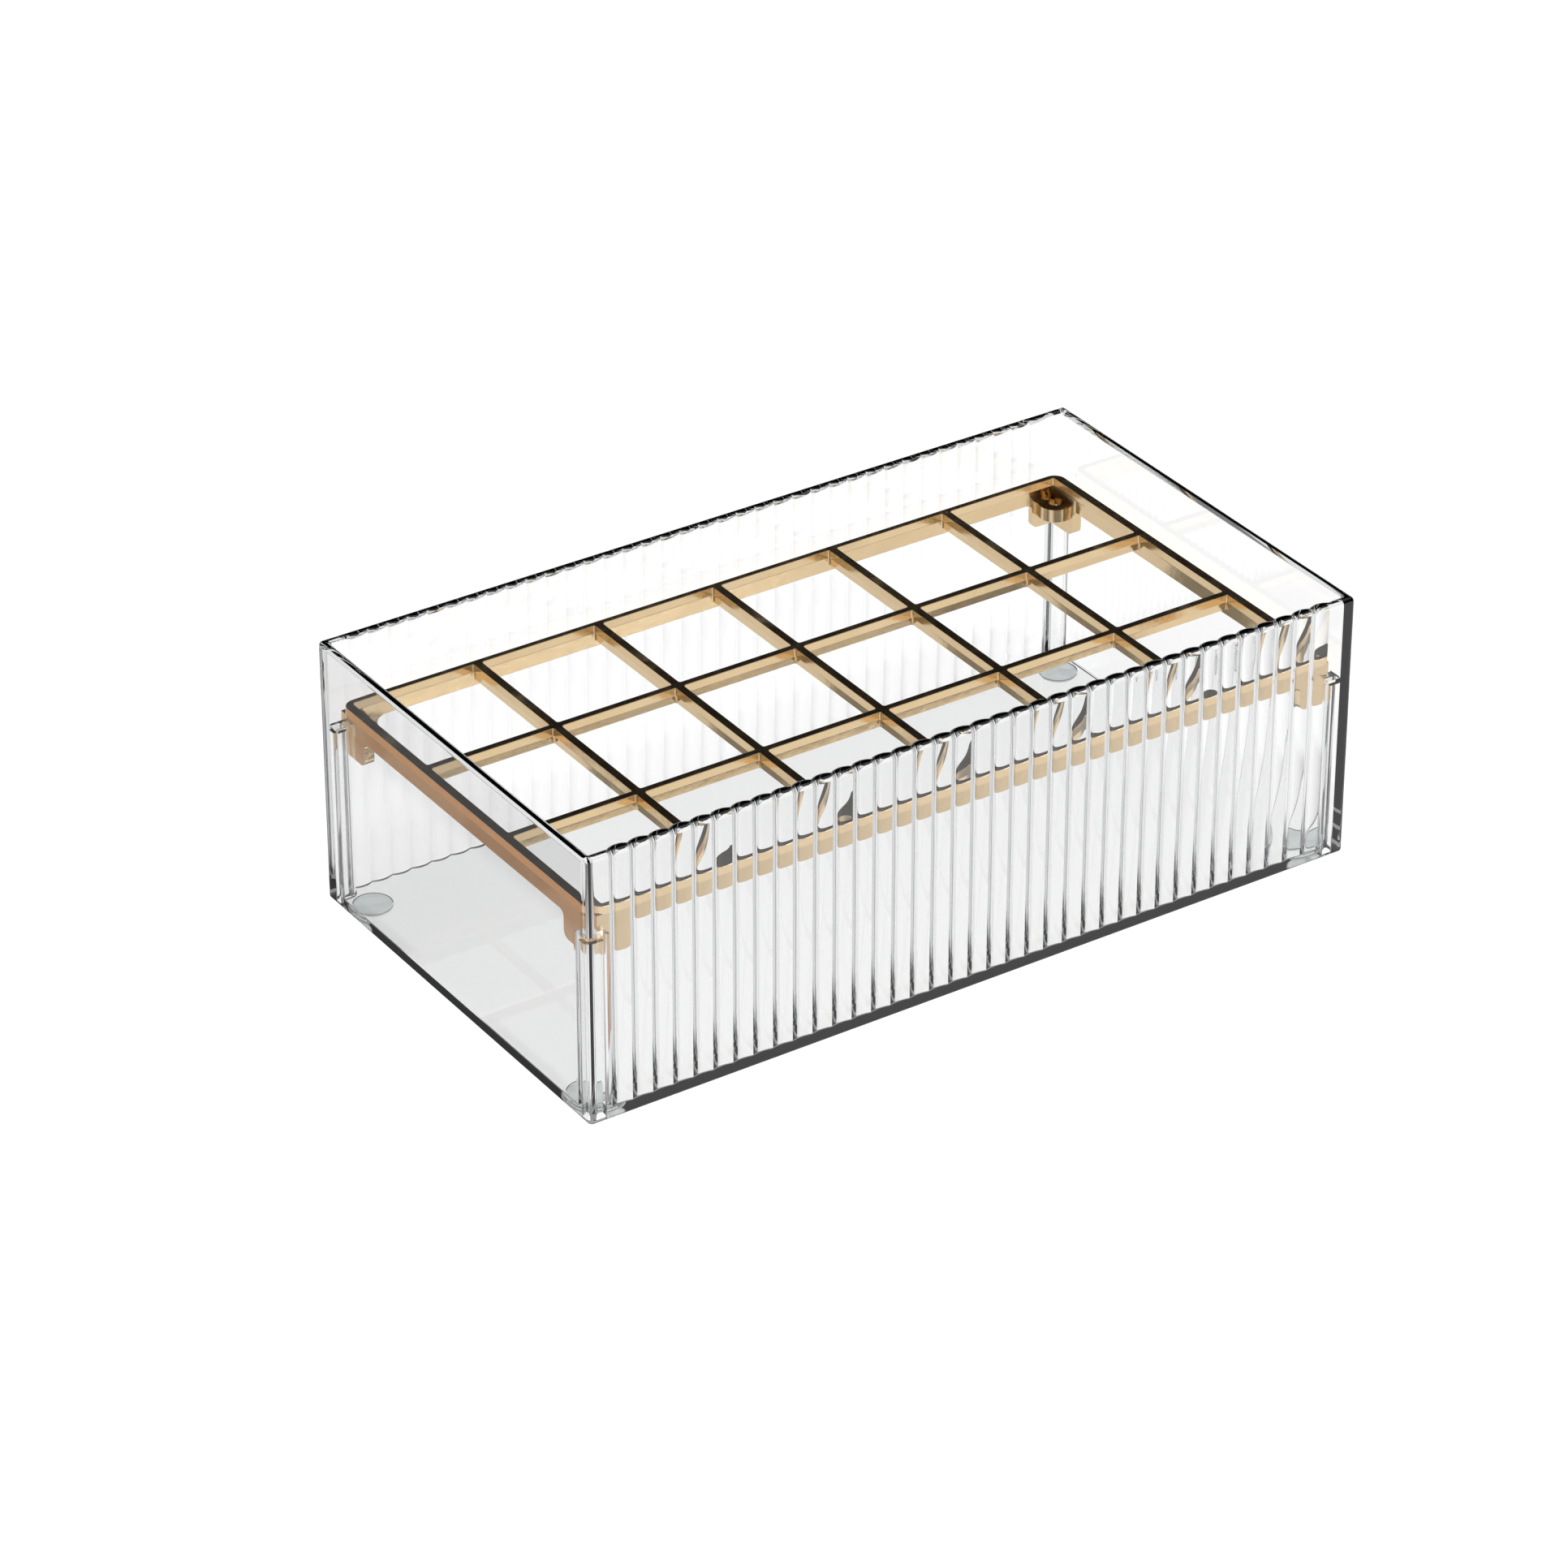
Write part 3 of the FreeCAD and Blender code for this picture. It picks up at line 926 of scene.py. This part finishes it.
def clear_plastic(finishes):
    """Clear polystyrene: bends what is behind it, and darkens along long paths inside it.

    A short path that has been mirrored leaves the plastic straight away. That isn't physical, but it
    keeps the valleys between the ribs clear.
    """
    material, tree = new_material("Clear polystyrene")
    glass = add_node(tree, "ShaderNodeBsdfPrincipled")
    glass.inputs["Base Color"].default_value = (*finishes.plastic_tint, 1)
    glass.inputs["IOR"].default_value = finishes.plastic_index
    glass.inputs["Transmission Weight"].default_value = 1.0
    smoothness = surface_noise(tree, scale=60.0, detail=3.0, low=0.0, high=0.012)
    tree.links.new(smoothness, glass.inputs["Roughness"])
    see_through = add_node(tree, "ShaderNodeBsdfTransparent")
    see_through.inputs["Color"].default_value = (*SEE_THROUGH_TINT, 1)
    path = add_node(tree, "ShaderNodeLightPath")
    for_lamps = calculate(tree, "MAXIMUM", path.outputs["Is Shadow Ray"], path.outputs["Is Diffuse Ray"])
    mirrored = calculate(tree, "GREATER_THAN", path.outputs["Glossy Depth"], ONE_OR_MORE)
    short = calculate(tree, "LESS_THAN", path.outputs["Ray Length"], finishes.mirror_reach)
    inside = add_node(tree, "ShaderNodeNewGeometry").outputs["Backfacing"]
    leaves = calculate(tree, "MULTIPLY", calculate(tree, "MULTIPLY", mirrored, short), inside)
    choose = add_node(tree, "ShaderNodeMixShader")
    tree.links.new(calculate(tree, "MAXIMUM", for_lamps, leaves), choose.inputs[0])
    tree.links.new(glass.outputs[0], choose.inputs[1])
    tree.links.new(see_through.outputs[0], choose.inputs[2])
    depth = add_node(tree, "ShaderNodeVolumeAbsorption")
    depth.inputs["Color"].default_value = (*finishes.plastic_depth, 1)
    depth.inputs["Density"].default_value = finishes.plastic_density
    out = add_node(tree, "ShaderNodeOutputMaterial")
    tree.links.new(choose.outputs[0], out.inputs["Surface"])
    tree.links.new(depth.outputs[0], out.inputs["Volume"])
    return material


def gold_plating(finishes):
    """Champagne gold plating on moulded plastic, with faint drifts of colour and polish."""
    material, tree = new_material("Champagne gold plating")
    metal = add_node(tree, "ShaderNodeBsdfPrincipled")
    metal.inputs["Metallic"].default_value = 1.0
    blend = add_node(tree, "ShaderNodeMix", data_type="RGBA")
    blend.inputs["A"].default_value = (*finishes.gold, 1)
    blend.inputs["B"].default_value = (*finishes.gold_dark, 1)
    drift = surface_noise(tree, scale=90.0, detail=4.0, low=0.0, high=0.6)
    tree.links.new(drift, blend.inputs["Factor"])
    tree.links.new(blend.outputs["Result"], metal.inputs["Base Color"])
    polish = surface_noise(tree, scale=240.0, detail=3.0, low=0.1, high=0.2)
    tree.links.new(polish, metal.inputs["Roughness"])
    ripple = add_node(tree, "ShaderNodeBump")
    ripple.inputs["Strength"].default_value = 0.05
    ripple.inputs["Distance"].default_value = 0.0002
    waves = surface_noise(tree, scale=700.0, detail=2.0, low=0.0, high=1.0)
    tree.links.new(waves, ripple.inputs["Height"])
    tree.links.new(ripple.outputs[0], metal.inputs["Normal"])
    out = add_node(tree, "ShaderNodeOutputMaterial")
    tree.links.new(metal.outputs[0], out.inputs["Surface"])
    return material


def clear_silicone(finishes):
    """Milky translucent silicone."""
    material, tree = new_material("Translucent silicone")
    rubber = add_node(tree, "ShaderNodeBsdfPrincipled")
    blend = add_node(tree, "ShaderNodeMix", data_type="RGBA")
    blend.inputs["A"].default_value = (*finishes.silicone, 1)
    blend.inputs["B"].default_value = tuple(SILICONE_SHADE * part for part in finishes.silicone) + (1,)
    cloud = surface_noise(tree, scale=400.0, detail=3.0, low=0.0, high=1.0)
    tree.links.new(cloud, blend.inputs["Factor"])
    tree.links.new(blend.outputs["Result"], rubber.inputs["Base Color"])
    grain = surface_noise(tree, scale=900.0, detail=2.0, low=0.4, high=0.6)
    tree.links.new(grain, rubber.inputs["Roughness"])
    rubber.inputs["Transmission Weight"].default_value = 0.3
    rubber.inputs["IOR"].default_value = 1.41
    out = add_node(tree, "ShaderNodeOutputMaterial")
    tree.links.new(rubber.outputs[0], out.inputs["Surface"])
    return material


class ORGANIZER_OT_clear_shell(bpy.types.Operator):
    """Build the ribbed clear shell with its corner posts"""
    bl_idname = "organizer.clear_shell"
    bl_label = "Clear shell"

    def execute(self, context):
        plan = ShellPlan(context.scene.organizer_shell)
        shell = new_piece("clear_shell", lambda work: build_shell(work, plan))
        tree = rib_tree(clear_plastic(context.scene.organizer_finishes))
        grow(shell, tree, {
            "Rib Zone": plan.rib_zone,
            "Rib Pitch": plan.rib_pitch,
            "Rib Height": plan.sizes.rib_height})
        soften(shell, math.radians(30))
        check_closed(shell)
        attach(shell, "box")
        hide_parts("clear_box")
        return {"FINISHED"}


class ORGANIZER_OT_gold_grid(bpy.types.Operator):
    """Build the gold grid insert with its cells, legs and bosses"""
    bl_idname = "organizer.gold_grid"
    bl_label = "Gold grid"

    def execute(self, context):
        plan = GridPlan(context.scene.organizer_grid)
        grid = new_piece("gold_grid", lambda work: build_plate(work, plan))
        cutter = new_piece("cell_cutter", lambda work: build_cell_cutter(work, plan))
        bar_room = new_piece("bar_room", lambda work: build_bar_room(work, plan))
        legs = corner_legs(plan)
        at_all_corners(legs)
        tree = cell_tree(gold_plating(context.scene.organizer_finishes), cutter, bar_room, legs)
        grow(grid, tree, {
            "Cells Along": plan.sizes.cells_along,
            "Cells Across": plan.sizes.cells_across,
            "Pitch Along": plan.cell_x + plan.sizes.cross_bar,
            "Pitch Across": plan.cell_y + plan.sizes.long_bar})
        bpy.data.objects.remove(cutter)
        bpy.data.objects.remove(bar_room)
        bpy.data.objects.remove(legs)
        soften(grid, math.radians(35), lambda place: abs(place.z - plan.parting) < SAME_EDGE)
        check_closed(grid)
        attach(grid, "grid")
        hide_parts("grid_insert")
        return {"FINISHED"}


class ORGANIZER_OT_foot_pads(bpy.types.Operator):
    """Build the four silicone foot pads"""
    bl_idname = "organizer.foot_pads"
    bl_label = "Foot pads"

    def execute(self, context):
        sizes = context.scene.organizer_pads
        centre, radius, thickness = pad_places()[0]
        pads = new_piece("silicone_pads", lambda work: build_pad(work, sizes, radius, thickness))
        tree = pad_tree(clear_silicone(context.scene.organizer_finishes))
        grow(pads, tree, {"Spread X": 2 * abs(centre.x), "Spread Y": 2 * abs(centre.y)})
        soften(pads, math.radians(40))
        check_closed(pads)
        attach(pads, "box")
        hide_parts(*PAD_NODES)
        return {"FINISHED"}


def band(tree, value, low, high, before, after):
    """Smooth step of a value from one number to another."""
    step = add_node(tree, "ShaderNodeMapRange", interpolation_type="SMOOTHSTEP")
    step.inputs["From Min"].default_value = low
    step.inputs["From Max"].default_value = high
    step.inputs["To Min"].default_value = before
    step.inputs["To Max"].default_value = after
    tree.links.new(value, step.inputs["Value"])
    return step.outputs[0]


def blend_numbers(tree, factor, first, second):
    node = add_node(tree, "ShaderNodeMix", data_type="FLOAT")
    for name, value in (("Factor", factor), ("A", first), ("B", second)):
        if isinstance(value, (int, float)):
            node.inputs[name].default_value = value
        else:
            tree.links.new(value, node.inputs[name])
    return node.outputs["Result"]


def unwalled_floor(tree, settings, along, across):
    """Brightness of the floor as gold sees it through the open top: painted shade under the box but for one
    painted bright strip.
    """
    front_edge = shell_low.y - 2 * FLOOR_FADE
    back_edge = shell_high.y + 2 * FLOOR_FADE
    open_floor = band(
        tree, across, front_edge, back_edge, settings.open_floor_front, settings.open_floor_back)
    far_left = band(
        tree, along, -settings.far_floor, -settings.far_floor + 2 * FLOOR_FADE, FAR_LEFT_LEVEL, 1.0)
    open_floor = calculate(tree, "MULTIPLY", open_floor, far_left)

    # Painted shade under the box, broken by a painted bright strip.
    from_strip = calculate(tree, "SUBTRACT", across, settings.strip_middle)
    under_box = band(
        tree, calculate(tree, "ABSOLUTE", from_strip),
        settings.strip_half_width, settings.strip_half_width + FLOOR_FADE,
        settings.painted_bright_strip, settings.painted_shade_under_box)

    beyond_ends = calculate(tree, "SUBTRACT", calculate(tree, "ABSOLUTE", along), shell_high.x)
    beyond_sides = calculate(tree, "SUBTRACT", calculate(tree, "ABSOLUTE", across), shell_high.y)
    beyond = calculate(tree, "MAXIMUM", beyond_ends, beyond_sides)
    outside = band(tree, beyond, FLOOR_FADE, 2 * FLOOR_FADE, 0.0, 1.0)
    return blend_numbers(tree, outside, under_box, open_floor)


def mirrored_floor(tree, settings):
    """Painted reflections: brightness of the floor in mirrors, and a mask of its painted warm part at the
    left.

    Gold seen through the open top sees one floor, and gold seen through a wall another. The gloss of
    the outer walls sees a third, and so does gold that is lifted clear of the box. The levels are
    painted light and shade for these reflections, matched to the photograph from its own angle.
    """
    coordinates = add_node(tree, "ShaderNodeTexCoord")
    split = add_node(tree, "ShaderNodeSeparateXYZ")
    tree.links.new(coordinates.outputs["Object"], split.inputs[0])
    along = split.outputs["X"]
    across = split.outputs["Y"]
    unwalled = unwalled_floor(tree, settings, along, across)

    far_edge = -settings.far_floor
    front = calculate(tree, "LESS_THAN", across, shell_low.y - 2 * FLOOR_FADE)
    not_front = calculate(tree, "SUBTRACT", 1.0, front)
    left = calculate(tree, "MULTIPLY", calculate(tree, "LESS_THAN", along, -settings.near_floor), not_front)
    front_level = band(
        tree, across, far_edge, far_edge + FLOOR_FADE, settings.open_floor_front, settings.low_front)
    left_level = band(
        tree, along, far_edge, far_edge + FLOOR_FADE, settings.high_left, settings.low_left)
    walled = blend_numbers(tree, front, unwalled, front_level)
    walled = blend_numbers(tree, left, walled, left_level)

    walls = add_node(tree, "ShaderNodeLightPath").outputs["Transmission Depth"]
    through_wall = calculate(tree, "GREATER_THAN", walls, TWO_OR_MORE)
    level = blend_numbers(tree, through_wall, unwalled, walled)
    before_box = calculate(tree, "LESS_THAN", across, shell_low.y)
    gloss = blend_numbers(tree, before_box, settings.gloss_left, settings.gloss_front)
    level = blend_numbers(tree, calculate(tree, "LESS_THAN", walls, ONE_OR_MORE), level, gloss)
    return level, calculate(tree, "MULTIPLY", left, through_wall)


def studio_floor(settings):
    """Pale floor: white to the camera and behind the plastic, with the box's soft shadow kept. In mirrors it
    shows painted reflection levels.
    """
    material, tree = new_material("Studio floor")
    matt = add_node(tree, "ShaderNodeBsdfDiffuse")
    matt.inputs["Color"].default_value = (*settings.floor_colour, 1)
    path = add_node(tree, "ShaderNodeLightPath")
    mirrored = calculate(tree, "GREATER_THAN", path.outputs["Glossy Depth"], ONE_OR_MORE)
    level, painted_warm_mask = mirrored_floor(tree, settings)
    # Painted warm reflection on the left rail: the white floor is tinted only where that rail mirrors it
    # through the wall.
    tint = add_node(tree, "ShaderNodeMix", data_type="RGBA")
    tint.inputs["A"].default_value = (1, 1, 1, 1)
    tint.inputs["B"].default_value = (*settings.painted_warm_tint, 1)
    mirrored_once = calculate(tree, "LESS_THAN", path.outputs["Glossy Depth"], TWO_OR_MORE)
    mirrored_once = calculate(tree, "MULTIPLY", mirrored_once, mirrored)
    tree.links.new(calculate(tree, "MULTIPLY", painted_warm_mask, mirrored_once), tint.inputs["Factor"])
    # In mirrors the floor is an emission at the painted reflection levels, not lamp light.
    white = add_node(tree, "ShaderNodeEmission")
    tree.links.new(tint.outputs["Result"], white.inputs["Color"])
    tree.links.new(blend_numbers(tree, mirrored, 1.0, level), white.inputs["Strength"])
    seen = calculate(tree, "MAXIMUM", path.outputs["Is Camera Ray"], path.outputs["Is Transmission Ray"])
    seen = calculate(tree, "MULTIPLY", seen, FLOOR_WHITE_SHARE)
    choose = add_node(tree, "ShaderNodeMixShader")
    tree.links.new(calculate(tree, "MAXIMUM", seen, mirrored), choose.inputs[0])
    tree.links.new(matt.outputs[0], choose.inputs[1])
    tree.links.new(white.outputs[0], choose.inputs[2])
    out = add_node(tree, "ShaderNodeOutputMaterial")
    tree.links.new(choose.outputs[0], out.inputs["Surface"])
    return material


def studio_world():
    """White studio to the camera. Pale low down, dark above and pale overhead in mirrors and plastic."""
    world = bpy.data.worlds.new("Studio")
    bpy.context.scene.world = world
    world.use_nodes = True
    tree = world.node_tree
    tree.nodes.clear()
    coordinates = add_node(tree, "ShaderNodeTexCoord")
    split = add_node(tree, "ShaderNodeSeparateXYZ")
    tree.links.new(coordinates.outputs["Generated"], split.inputs[0])
    ramp = add_node(tree, "ShaderNodeValToRGB")
    stops = ramp.color_ramp.elements
    for index, (height, shade) in enumerate(ROOM_STOPS):
        stop = stops[index] if index < len(stops) else stops.new(height)
        stop.position = height
        stop.color = shade
    tree.links.new(split.outputs["Z"], ramp.inputs[0])
    path = add_node(tree, "ShaderNodeLightPath")
    room = add_node(tree, "ShaderNodeBackground")
    tree.links.new(ramp.outputs["Color"], room.inputs["Color"])
    plain = add_node(tree, "ShaderNodeBackground")
    plain.inputs["Color"].default_value = (1, 1, 1, 1)
    fill = add_node(tree, "ShaderNodeBackground")
    fill.inputs["Color"].default_value = DIFFUSE_ROOM
    soft = add_node(tree, "ShaderNodeMixShader")
    tree.links.new(path.outputs["Is Diffuse Ray"], soft.inputs[0])
    tree.links.new(room.outputs[0], soft.inputs[1])
    tree.links.new(fill.outputs[0], soft.inputs[2])
    choose = add_node(tree, "ShaderNodeMixShader")
    tree.links.new(path.outputs["Is Camera Ray"], choose.inputs[0])
    tree.links.new(soft.outputs[0], choose.inputs[1])
    tree.links.new(plain.outputs[0], choose.inputs[2])
    out = add_node(tree, "ShaderNodeOutputWorld")
    tree.links.new(choose.outputs[0], out.inputs["Surface"])


def build_floor(settings):
    half = settings.floor_size / 2
    mesh = bpy.data.meshes.new("studio_floor")
    corners = [(-half, -half, 0), (half, -half, 0), (half, half, 0), (-half, half, 0)]
    mesh.from_pydata(corners, [], [(0, 1, 2, 3)])
    floor = new_mesh_object("studio_floor", mesh)
    mesh.materials.append(studio_floor(settings))


def aim(obj, place, target):
    obj.location = place
    obj.rotation_euler = (Vector(target) - Vector(place)).to_track_quat("-Z", "Y").to_euler()


def softbox(name, place, width, height, power):
    """Area lamp that doesn't show in mirrors."""
    lamp = bpy.data.lights.new(name, "AREA")
    lamp.shape = "RECTANGLE"
    lamp.size = width
    lamp.size_y = height
    lamp.energy = power
    box = bpy.data.objects.new(name, lamp)
    box.visible_glossy = False
    bpy.context.scene.collection.objects.link(box)
    aim(box, place, LAMP_TARGET)


def studio_camera(settings):
    """Camera at the photograph's angle, found from the box's corners."""
    turn = settings.azimuth
    tilt = settings.elevation
    back = Vector((math.sin(turn) * math.cos(tilt), -math.cos(turn) * math.cos(tilt), math.sin(tilt)))
    right = Vector((math.cos(turn), math.sin(turn), 0))
    up = back.cross(right)
    middle = Vector((0, 0, settings.aim_height))
    lens = bpy.data.cameras.new("Studio camera")
    lens.sensor_width = 36
    lens.lens = settings.lens
    lens.clip_start = 0.01
    lens.clip_end = 100
    camera = bpy.data.objects.new("Studio camera", lens)
    bpy.context.scene.collection.objects.link(camera)
    turned = Matrix((right, up, back)).transposed().to_4x4()
    place = middle - settings.offset_right * right - settings.offset_up * up + settings.distance * back
    camera.matrix_world = Matrix.Translation(place) @ turned
    bpy.context.scene.camera = camera


class ORGANIZER_OT_studio(bpy.types.Operator):
    """Build the pale floor, the soft lights, the world and the camera"""
    bl_idname = "organizer.studio"
    bl_label = "Studio"

    def execute(self, context):
        settings = context.scene.organizer_stage
        build_floor(settings)
        studio_world()
        softbox("Overhead softbox", place=(-0.1, 0.1, 1.3), width=1.2, height=0.9, power=settings.key_power)
        softbox("Front softbox", place=(0.5, -1.3, 0.8), width=0.9, height=0.6, power=settings.fill_power)
        studio_camera(settings)
        context.scene.view_settings.view_transform = "Standard"
        return {"FINISHED"}


OPERATORS = (
    ORGANIZER_OT_clear_shell,
    ORGANIZER_OT_gold_grid,
    ORGANIZER_OT_foot_pads,
    ORGANIZER_OT_studio,
)


class ORGANIZER_PT_pieces(bpy.types.Panel):
    """Lists the pieces of the organizer box"""
    bl_idname = "ORGANIZER_PT_pieces"
    bl_label = "Organizer box"
    bl_space_type = "VIEW_3D"
    bl_region_type = "UI"
    bl_category = "Organizer"

    def draw(self, context):
        for operator in OPERATORS:
            self.layout.operator(operator.bl_idname)
        for name in SETTINGS:
            settings = getattr(context.scene, name)
            box = self.layout.box()
            for field in settings.__annotations__:
                box.prop(settings, field)


SETTINGS = {
    "organizer_shell": ShellSizes,
    "organizer_grid": GridSizes,
    "organizer_pads": PadSizes,
    "organizer_finishes": Finishes,
    "organizer_stage": StageSettings,
}


def register():
    for group in SETTINGS.values():
        bpy.utils.register_class(group)
    for name, group in SETTINGS.items():
        setattr(bpy.types.Scene, name, bpy.props.PointerProperty(type=group))
    for operator in OPERATORS:
        bpy.utils.register_class(operator)
    bpy.utils.register_class(ORGANIZER_PT_pieces)


def unregister():
    bpy.utils.unregister_class(ORGANIZER_PT_pieces)
    for operator in reversed(OPERATORS):
        bpy.utils.unregister_class(operator)
    for name, group in reversed(SETTINGS.items()):
        delattr(bpy.types.Scene, name)
        bpy.utils.unregister_class(group)


def main():
    register()
    bpy.ops.organizer.clear_shell()
    bpy.ops.organizer.gold_grid()
    bpy.ops.organizer.foot_pads()
    bpy.ops.organizer.studio()


if __name__ == "__main__":
    main()
